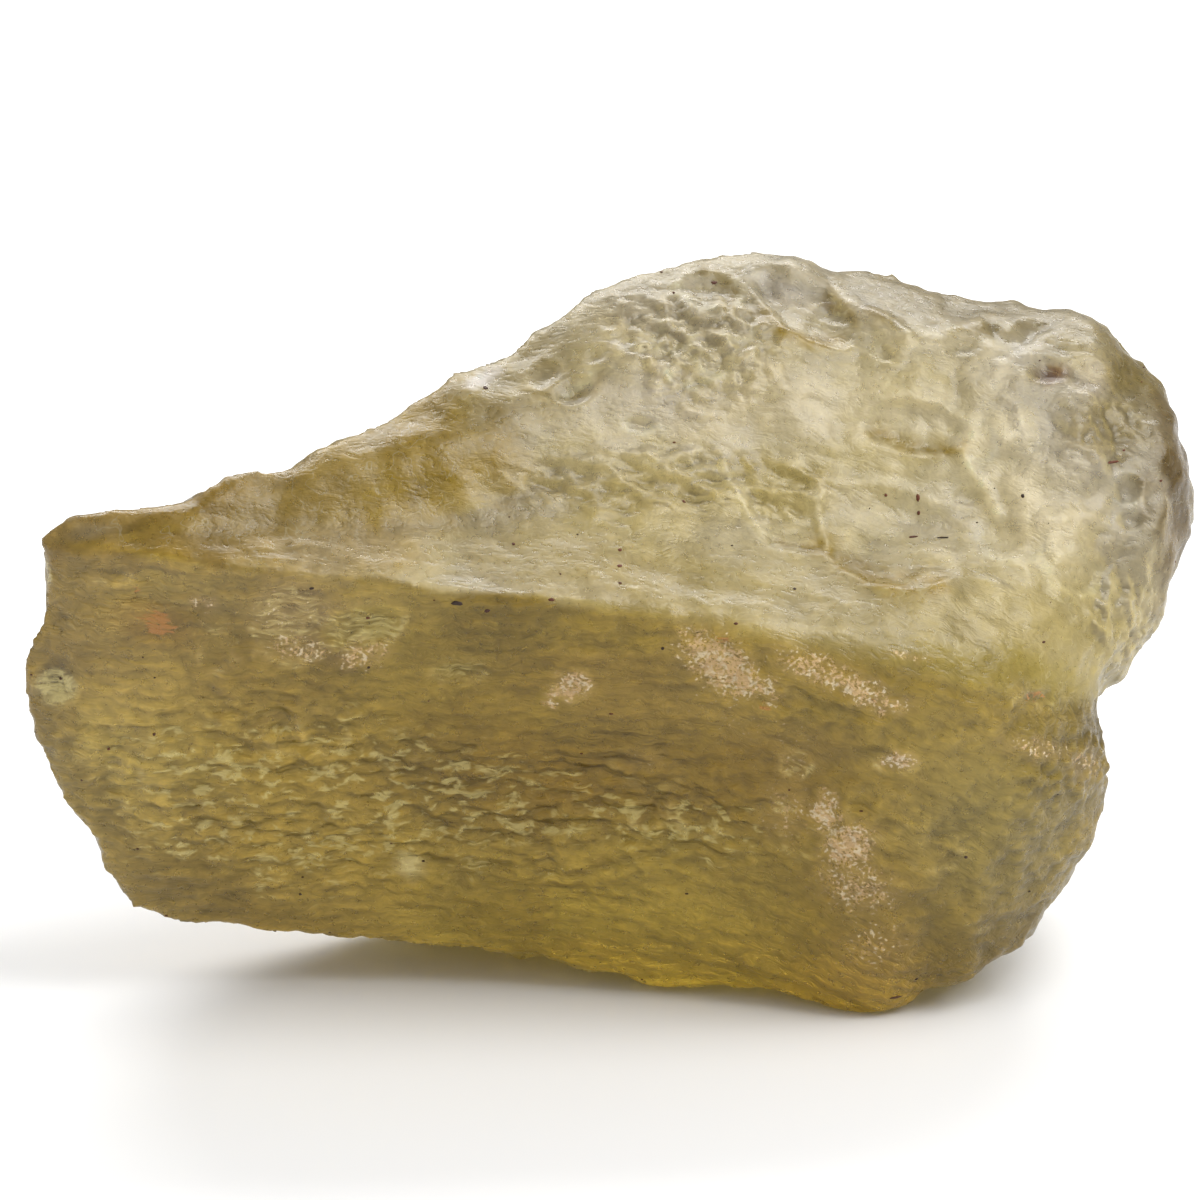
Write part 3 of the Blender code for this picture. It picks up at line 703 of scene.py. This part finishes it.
def hidden_colour(points):
    """The skin's own colour on the sides that the front view doesn't show."""
    olive, pale, amber = (linear(colour) for colour in HIDDEN_COLOURS)
    shake = np.stack([rough_noise(points, 7.0, seed, 3) for seed in (160, 163, 166)], axis=1)
    loose = points + 6.0 * shake
    patchy = ease_between(rough_noise(loose, 24.0, 100, 4), -0.4, 0.4)[:, None]
    warm = ease_between(rough_noise(loose, 30.0, 104, 4), -0.1, 0.6)[:, None]
    colour = olive + (pale - olive) * patchy
    return colour + (amber - colour) * 0.7 * warm


def painted_shading_and_tone(mesh, smooth_normals, front, lower):
    """Painted shade in the skin's hollows and painted light on its raised and upward-facing parts, with a
    random change of tone.
    """
    points, normals = positions(mesh), directions(mesh)
    hollow_depth = np.sum((smoothed(mesh, points, HOLLOW_STEPS) - points) * normals, axis=1)
    broad_depth = np.sum((smoothed(mesh, points, BROAD_STEPS) - points) * normals, axis=1)
    facing_up = normals[:, 2] - smooth_normals[:, 2]
    shading_and_tone = 1 - (0.7 + 0.9 * front * lower) * np.clip(hollow_depth, -0.15, 0.15)
    shading_and_tone -= 0.3 * np.clip(broad_depth, -0.5, 0.5)
    shading_and_tone += (0.10 + 0.6 * front * lower) * np.clip(facing_up, -0.5, 0.5)
    return shading_and_tone * (1 + 0.22 * rough_noise(points, 3.2, 120, 3))


def paint_colour(mesh, smooth_normals, front, lower):
    """Store the skin's colour on the mesh, with its painted shade and light."""
    points = positions(mesh)
    colour = hidden_colour(points)
    colour += front[:, None] * (front_colour(points, on_sheet(points)) - colour)
    colour *= painted_shading_and_tone(mesh, smooth_normals, front, lower)[:, None]
    colour = np.hstack((np.clip(colour, DARKEST, PALEST), np.ones((len(colour), 1))))
    mesh.attributes.new("skin", "FLOAT_COLOR", "POINT").data.foreach_set("color", colour.ravel())


def paint_masks(mesh, front, lower):
    """Store where the skin is chalky, rusty, streaky, crusty, frosted and clear, and where its painted lines
    of light and shade go.
    """
    points = positions(mesh)
    place = on_sheet(points)
    close = np.stack((rough_noise(points, 1.6, 110, 2), rough_noise(points, 1.6, 114, 2)), axis=1)
    hidden_frost = ease_between(rough_noise(points, 2.4, 150, 3), 0.15, 0.4)
    masks = {
        "chalk": front * strongest(place + 1.0 * close, CHALK),
        "rust": front * strongest(place + 0.6 * close, RUST),
        "streaky": 0.35 + 0.65 * front * lower,
        "crusty": front * spread(place + 1.5 * close, CRUST + GROOVES),
        "painted_lines": front * (1 - lower),
        "frost": front * lower * frosting(points, place) + 0.8 * (1 - front) * hidden_frost,
        "clear": 0.76 - 0.10 * (1 - lower) - 0.26 * front * lower * spread(place, MILKY),
    }
    for name, cover in masks.items():
        mesh.attributes.new(name, "FLOAT", "POINT").data.foreach_set("value", cover)


def paint_places(mesh):
    """Store shifted points on the mesh, so that the material's noise bends and follows the flow."""
    points = positions(mesh)
    shake = np.stack([noise(points, 2.2, seed) for seed in (140, 141, 142)], axis=1)
    bent = points + 0.9 * shake
    flow = along_flow(bent, on_sheet(points), LINE_STRETCH)
    for name, vectors in {"bent": bent, "flow": flow}.items():
        stored_places = mesh.attributes.new(name, "FLOAT_VECTOR", "POINT")
        stored_places.data.foreach_set("vector", vectors.ravel())


def paint(mesh, smooth_normals):
    """Store on the mesh everything that the material reads from it."""
    front = ease_between(-(smooth_normals @ AWAY), -0.15, 0.15)
    lower = 1 - ease_between(above_crest(on_sheet(positions(mesh))), -1.5, 1.5)
    paint_colour(mesh, smooth_normals, front, lower)
    paint_masks(mesh, front, lower)
    paint_places(mesh)


def round_crest(mesh):
    """Round the crest off towards the right, where wind has worn it to a soft roll."""
    points = positions(mesh)
    place = on_sheet(points)
    worn_off = np.exp(-((above_crest(place) / 4.0) ** 2)) * ease_between(place[:, 0], -20.0, 20.0)
    worn_off *= ease_between(-(directions(mesh) @ AWAY), 0.0, 0.3)
    move_to(mesh, points + worn_off[:, None] * (smoothed(mesh, points, CREST_STEPS) - points))


def make_skin():
    """The whole lump with its fine surface."""
    piece = fine_copy()
    thin_out(piece)
    mesh = piece.data
    mesh.name = PIECE
    round_crest(mesh)
    smooth_normals = directions(mesh)
    move_to(mesh, worn(positions(mesh), smooth_normals))
    mesh.shade_smooth()
    paint(mesh, smooth_normals)
    mesh.materials.clear()
    mesh.materials.append(glass_material())
    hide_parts(NODE)
    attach(piece, BODY)
    return piece


# Materials. Colours are parts of light, from 0 to 1; sizes are in mm

CHALK_COLOUR = (0.74, 0.49, 0.27, 1.0)
GRIT_COLOUR = (0.90, 0.78, 0.58, 1.0)
RUST_COLOUR = (0.38, 0.155, 0.03, 1.0)
# Painted highlight lines on the upper face
HIGHLIGHT_LINE_COLOUR = (0.85, 0.78, 0.55, 1.0)
FROST_COLOUR = (0.62, 0.52, 0.21, 1.0)
# The specks' colours are screen values, from 0 to 255
DARK_MINERAL, RED_MINERAL = (48, 30, 18), (98, 46, 22)

RIPPLE_SIZE, GRAIN_SIZE, STREAK_SIZE, FOLD_SIZE = 0.9, 0.45, 0.5, 3.2

GLASS_IOR = 1.46
GLASS_SPECULAR = 0.7
GLASS_TINT = (1.0, 0.96, 0.86, 1.0)
GLASS_DEPTH_COLOUR = (0.83, 0.77, 0.28, 1.0)
GLASS_DENSITY = 40.0
# How much less clear the glass is where a crust or frost covers it
CRUST_DULLING = 0.55
BUMP_STRENGTH, BUMP_HEIGHT = 0.8, 0.45


def node(tree, kind, inputs=None, **settings):
    """A new shader node with its settings, and its inputs as values or links."""
    made = tree.nodes.new("ShaderNode" + kind)
    for name, value in settings.items():
        setattr(made, name, value)
    for name, value in (inputs or {}).items():
        if isinstance(value, bpy.types.NodeSocket):
            tree.links.new(value, made.inputs[name])
        else:
            made.inputs[name].default_value = value
    return made


def math_node(tree, operation, *values):
    """The result of a calculation on values or links."""
    return node(tree, "Math", dict(enumerate(values)), operation=operation).outputs[0]


def mix(tree, factor, first, second, blend="MIX"):
    """Two colours mixed by a factor."""
    inputs = {0: factor, 6: first, 7: second}
    return node(tree, "Mix", inputs, data_type="RGBA", blend_type=blend).outputs[2]


def remap(tree, value, low, high, new_low, new_high):
    """A value moved from one range to another, held at the ends."""
    inputs = {"Value": value, "From Min": low, "From Max": high, "To Min": new_low, "To Max": new_high}
    return node(tree, "MapRange", inputs).outputs["Result"]


def pattern(tree, place, size, detail=2.0, rough=0.55):
    """Noise from 0 to 1 with lumps about one size apart, in mm."""
    inputs = {"Vector": place, "Scale": 1 / size, "Detail": detail, "Roughness": rough}
    return node(tree, "TexNoise", inputs).outputs["Fac"]


def stored(tree, name, output="Fac"):
    """A value that the mesh carries."""
    return node(tree, "Attribute", attribute_name=name).outputs[output]


def scaled(tree, vector, factor):
    """A vector made longer or shorter."""
    return node(tree, "VectorMath", {0: vector, "Scale": factor}, operation="SCALE").outputs["Vector"]


def shade(tree, colour, value, low, high, darkest, lightest):
    """A colour made darker or lighter by a value."""
    factor = remap(tree, value, low, high, darkest, lightest)
    grey = node(tree, "CombineColor", {0: factor, 1: factor, 2: factor}).outputs[0]
    return mix(tree, 1.0, colour, grey, "MULTIPLY")


def covered(tree, mask, weight, noisy, low, high, most):
    """How much of a crust shows, with a ragged edge where its mask fades."""
    edge = math_node(tree, "MULTIPLY_ADD", mask, weight, noisy)
    return remap(tree, edge, low, high, 0.0, most)


def thin_lines(tree, noisy, level, width):
    """1 along the lines where a noise crosses a level, fading to 0 beside them."""
    distance = math_node(tree, "ABSOLUTE", math_node(tree, "SUBTRACT", noisy, level))
    return remap(tree, distance, 0.0, width, 1.0, 0.0)


def object_place(tree):
    """Places on the piece, in mm."""
    return scaled(tree, node(tree, "TexCoord").outputs["Object"], 1 / MM)


def new_material(name):
    """A new node material with its tree and its main shader."""
    material = bpy.data.materials.new(name)
    material.use_nodes = True
    return material, material.node_tree, material.node_tree.nodes["Principled BSDF"]


def lined(tree, colour, ripple, folds):
    """The colour with dark crackle on crusts, and painted crease shade and painted highlight lines on the
    upper face.
    """
    painted_lines, crusty = stored(tree, "painted_lines"), stored(tree, "crusty")
    crackle = math_node(tree, "MULTIPLY", thin_lines(tree, ripple, 0.5, 0.02), crusty)
    crease_shade = math_node(tree, "MULTIPLY", thin_lines(tree, folds, 0.46, 0.016), painted_lines)
    highlight_line = math_node(tree, "MULTIPLY", thin_lines(tree, folds, 0.56, 0.012), painted_lines)
    colour = shade(tree, colour, crackle, 0.0, 1.0, 1.0, 0.72)
    colour = shade(tree, colour, crease_shade, 0.0, 1.0, 1.0, 0.88)
    return mix(tree, math_node(tree, "MULTIPLY", highlight_line, 0.4), colour, HIGHLIGHT_LINE_COLOUR)


def crusted(tree, colour, ripple, frost, chalk, rust):
    """The colour with frost, chalk and rust laid over it."""
    colour = mix(tree, frost, colour, FROST_COLOUR)
    veil = math_node(tree, "MULTIPLY", stored(tree, "chalk"), 0.35)
    colour = mix(tree, veil, colour, CHALK_COLOUR)
    gritty = mix(tree, remap(tree, ripple, 0.50, 0.62, 0.0, 1.0), CHALK_COLOUR, GRIT_COLOUR)
    colour = mix(tree, math_node(tree, "MULTIPLY", chalk, 0.55), colour, gritty)
    return mix(tree, rust, colour, RUST_COLOUR)


def glass_bump(tree, ripple, streak):
    """The unevenness that is finer than the mesh."""
    streaky = math_node(tree, "MULTIPLY", streak, stored(tree, "streaky"))
    height = math_node(tree, "MULTIPLY_ADD", streaky, 0.6, math_node(tree, "MULTIPLY", ripple, 0.25))
    inputs = {"Strength": BUMP_STRENGTH, "Distance": BUMP_HEIGHT * MM, "Height": height}
    return node(tree, "Bump", inputs).outputs["Normal"]


def glass_material():
    """Milky natural glass with a frosted skin, chalky crusts and rust stains."""
    material, tree, shader = new_material("milky_glass")
    place = object_place(tree)
    ripple = pattern(tree, place, RIPPLE_SIZE, 2.0, 0.5)
    grain = pattern(tree, place, GRAIN_SIZE, 2.0, 0.6)
    streak = pattern(tree, stored(tree, "flow", "Vector"), STREAK_SIZE, 2.0, 0.6)
    folds = pattern(tree, stored(tree, "bent", "Vector"), FOLD_SIZE, 2.0, 0.5)
    chalk = covered(tree, stored(tree, "chalk"), 0.42, grain, 0.77, 0.87, 1.0)
    rust = covered(tree, stored(tree, "rust"), 0.42, streak, 0.76, 0.88, 0.85)
    frost = covered(tree, stored(tree, "frost"), 0.45, streak, 0.70, 0.96, 0.7)

    # This stored colour carries painted sheen, glow, highlights and shade
    colour = stored(tree, "skin", "Color")
    streaked = shade(tree, colour, streak, 0.32, 0.68, 0.82, 1.20)
    colour = mix(tree, stored(tree, "streaky"), colour, streaked)
    colour = shade(tree, colour, ripple, 0.35, 0.65, 0.92, 1.08)
    colour = lined(tree, colour, ripple, folds)
    colour = crusted(tree, colour, ripple, frost, chalk, rust)

    roughness = remap(tree, ripple, 0.35, 0.65, 0.26, 0.40)
    roughness = math_node(tree, "MULTIPLY_ADD", chalk, 0.3, roughness)
    crust = math_node(tree, "MAXIMUM", math_node(tree, "MAXIMUM", chalk, rust), frost)
    clear = math_node(tree, "MULTIPLY_ADD", crust, -CRUST_DULLING, stored(tree, "clear"))
    tree.links.new(colour, shader.inputs["Base Color"])
    tree.links.new(glass_bump(tree, ripple, streak), shader.inputs["Normal"])
    tree.links.new(roughness, shader.inputs["Roughness"])
    tree.links.new(clear, shader.inputs["Transmission Weight"])
    shader.inputs["IOR"].default_value = GLASS_IOR
    shader.inputs["Specular IOR Level"].default_value = GLASS_SPECULAR
    shader.inputs["Specular Tint"].default_value = GLASS_TINT
    inside = node(tree, "VolumeAbsorption", {"Color": GLASS_DEPTH_COLOUR, "Density": GLASS_DENSITY})
    tree.links.new(inside.outputs["Volume"], tree.nodes["Material Output"].inputs["Volume"])
    return material


def speck_material():
    """Dark, slightly reddish mineral grains."""
    material, tree, shader = new_material("dark_mineral")
    place = object_place(tree)
    kind = remap(tree, pattern(tree, place, 7.0), 0.42, 0.6, 0.0, 1.0)
    colour = mix(tree, kind, (*linear(DARK_MINERAL), 1.0), (*linear(RED_MINERAL), 1.0))
    tree.links.new(colour, shader.inputs["Base Color"])
    tree.links.new(remap(tree, pattern(tree, place, 0.2), 0.3, 0.7, 0.45, 0.8), shader.inputs["Roughness"])
    return material


# Dark specks

# Specks on the front: (across, up, half width, half height)
FRONT_SPECKS = (
    (2.6, 56.3, 0.26, 0.22), (2.2, 54.4, 0.36, 0.2), (2.5, 52.1, 0.24, 0.2), (10.2, 62.0, 0.18, 0.3),
    (23.2, 51.6, 0.2, 0.18), (-17.0, 49.8, 0.7, 0.3), (-13.6, 49.0, 0.36, 0.28), (-5.8, 50.2, 0.4, 0.2),
    (-53.3, 34.3, 0.2, 0.2), (-58.9, 32.3, 0.22, 0.2), (-64.6, 40.7, 0.2, 0.18), (-27.5, 42.0, 0.2, 0.18),
    (-28.1, 47.9, 0.26, 0.22), (-34.4, 51.7, 0.3, 0.16), (50.5, 62.8, 0.2, 0.26), (34.4, 62.9, 0.2, 0.2),
    (38.2, 62.4, 0.24, 0.5), (38.4, 60.6, 0.2, 0.3), (37.6, 57.9, 0.6, 0.14), (41.0, 57.8, 0.7, 0.13),
    (61.3, 66.8, 0.9, 0.16), (13.8, 88.2, 0.4, 0.24), (9.0, 87.0, 0.16, 0.2), (-13.7, 75.6, 0.3, 0.34),
    (38.0, 4.7, 0.2, 0.2), (35.5, 2.6, 0.9, 0.16), (-21.4, 19.0, 0.2, 0.16), (44.0, 19.4, 0.24, 0.2),
    (-36.0, 14.9, 0.2, 0.16), (-10.6, 57.0, 0.2, 0.2), (7.4, 44.5, 0.22, 0.18), (16.5, 47.2, 0.24, 0.16),
)
SCATTERED_SPECKS = 50
SCATTERED_SIZES = (0.06, 0.14)
SPECK_SEED = 5
SPECK_HEIGHT, SPECK_LIFT = 0.12, 0.01


def speck_places(points, normals, random):
    """Where each grain sits, as a vertex of the skin, with its half width and half height."""
    place = on_sheet(points)
    facing = np.flatnonzero(normals @ AWAY < -0.1)
    grains = []
    for across, up, wide, high in FRONT_SPECKS:
        nearest = facing[np.argmin(np.linalg.norm(place[facing] - (across, up), axis=1))]
        grains.append((nearest, wide, high))
    for spot in random.choice(len(points), SCATTERED_SPECKS, replace=False):
        size = random.uniform(*SCATTERED_SIZES)
        grains.append((spot, size * random.uniform(1.0, 2.2), size))
    return grains


def surface_axes(normal):
    """Axes along the surface and out of it, as the columns of a matrix."""
    up = Vector((0.0, 0.0, 1.0))
    side = normal.cross(up).normalized() if abs(normal.z) < 0.99 else Vector((1.0, 0.0, 0.0))
    return Matrix((side, side.cross(normal), normal)).transposed()


def make_specks(skin):
    """Tiny dark grains set in the skin."""
    points, normals = positions(skin.data), directions(skin.data)
    random = np.random.default_rng(SPECK_SEED)
    build = bmesh.new()
    for spot, wide, high in speck_places(points, normals, random):
        axes = surface_axes(Vector(normals[spot]))
        for vertex in bmesh.ops.create_icosphere(build, subdivisions=2, radius=1.0)["verts"]:
            x, y, z = vertex.co
            uneven = random.uniform(0.8, 1.15)
            local = Vector((x * wide, y * high, z * SPECK_HEIGHT + SPECK_LIFT)) * uneven
            vertex.co = (axes @ local + Vector(points[spot])) * MM
    mesh = bpy.data.meshes.new(SPECKS)
    build.to_mesh(mesh)
    build.free()
    mesh.shade_smooth()
    mesh.materials.append(speck_material())
    specks = bpy.data.objects.new(SPECKS, mesh)
    bpy.context.scene.collection.objects.link(specks)
    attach(specks, BODY)


# Studio. Lengths are in metres

WORLD_STRENGTH = 0.48
FLOOR_HALF = 4.0
FLOOR_DROP = 0.0001
PAPER_GREY, PAPER_ROUGHNESS = 0.9, 0.9
# Soft lights: (name, width, depth, energy, location)
SOFTBOXES = (
    ("front_softbox", 0.5, 0.7, 6.6, (0.45, -0.22, 0.75)),
    ("back_softbox", 1.0, 0.5, 10.0, (0.0, 0.75, 0.8)),
)
NEAR_CLIP, FAR_CLIP = 0.05, 20.0


def add_light(name, width, depth, energy, location):
    """A flat soft light that faces the lump."""
    light = bpy.data.lights.new(name, "AREA")
    light.shape = "RECTANGLE"
    light.size = width
    light.size_y = depth
    light.energy = energy
    lamp = bpy.data.objects.new(name, light)
    lamp.location = location
    lamp.rotation_euler = (-Vector(location)).to_track_quat("-Z", "Y").to_euler()
    bpy.context.scene.collection.objects.link(lamp)


def make_world():
    """Even white light from all around."""
    world = bpy.data.worlds.new("studio")
    world.use_nodes = True
    background = world.node_tree.nodes["Background"]
    background.inputs["Color"].default_value = (1.0, 1.0, 1.0, 1.0)
    background.inputs["Strength"].default_value = WORLD_STRENGTH
    bpy.context.scene.world = world


def make_floor():
    """A wide floor of pale paper, just under the lump."""
    corners = [(-1, -1), (1, -1), (1, 1), (-1, 1)]
    mesh = bpy.data.meshes.new("floor")
    mesh.from_pydata([(x * FLOOR_HALF, y * FLOOR_HALF, 0) for x, y in corners], [], [(0, 1, 2, 3)])
    floor = bpy.data.objects.new("floor", mesh)
    floor.location.z = -FLOOR_DROP
    bpy.context.scene.collection.objects.link(floor)
    paper, _, shader = new_material("paper")
    shader.inputs["Base Color"].default_value = (PAPER_GREY, PAPER_GREY, PAPER_GREY, 1.0)
    shader.inputs["Roughness"].default_value = PAPER_ROUGHNESS
    mesh.materials.append(paper)


def make_camera():
    """The camera, square to the front view's sheet."""
    camera = bpy.data.objects.new("camera", bpy.data.cameras.new("camera"))
    aim = VIEW_HEIGHT * SHEET_UP - HOME
    camera.location = (aim - VIEW_DISTANCE * AWAY) * MM
    camera.rotation_euler = (math.radians(90) - VIEW_TILT, 0.0, 0.0)
    camera.data.sensor_width = SENSOR_WIDTH
    camera.data.lens = SENSOR_WIDTH * VIEW_DISTANCE / VIEW_WIDTH
    camera.data.clip_start = NEAR_CLIP
    camera.data.clip_end = FAR_CLIP
    bpy.context.scene.collection.objects.link(camera)
    bpy.context.scene.camera = camera


make_specks(make_skin())
bpy.context.scene.view_settings.view_transform = "Standard"
make_world()
make_floor()
for softbox in SOFTBOXES:
    add_light(*softbox)
make_camera()
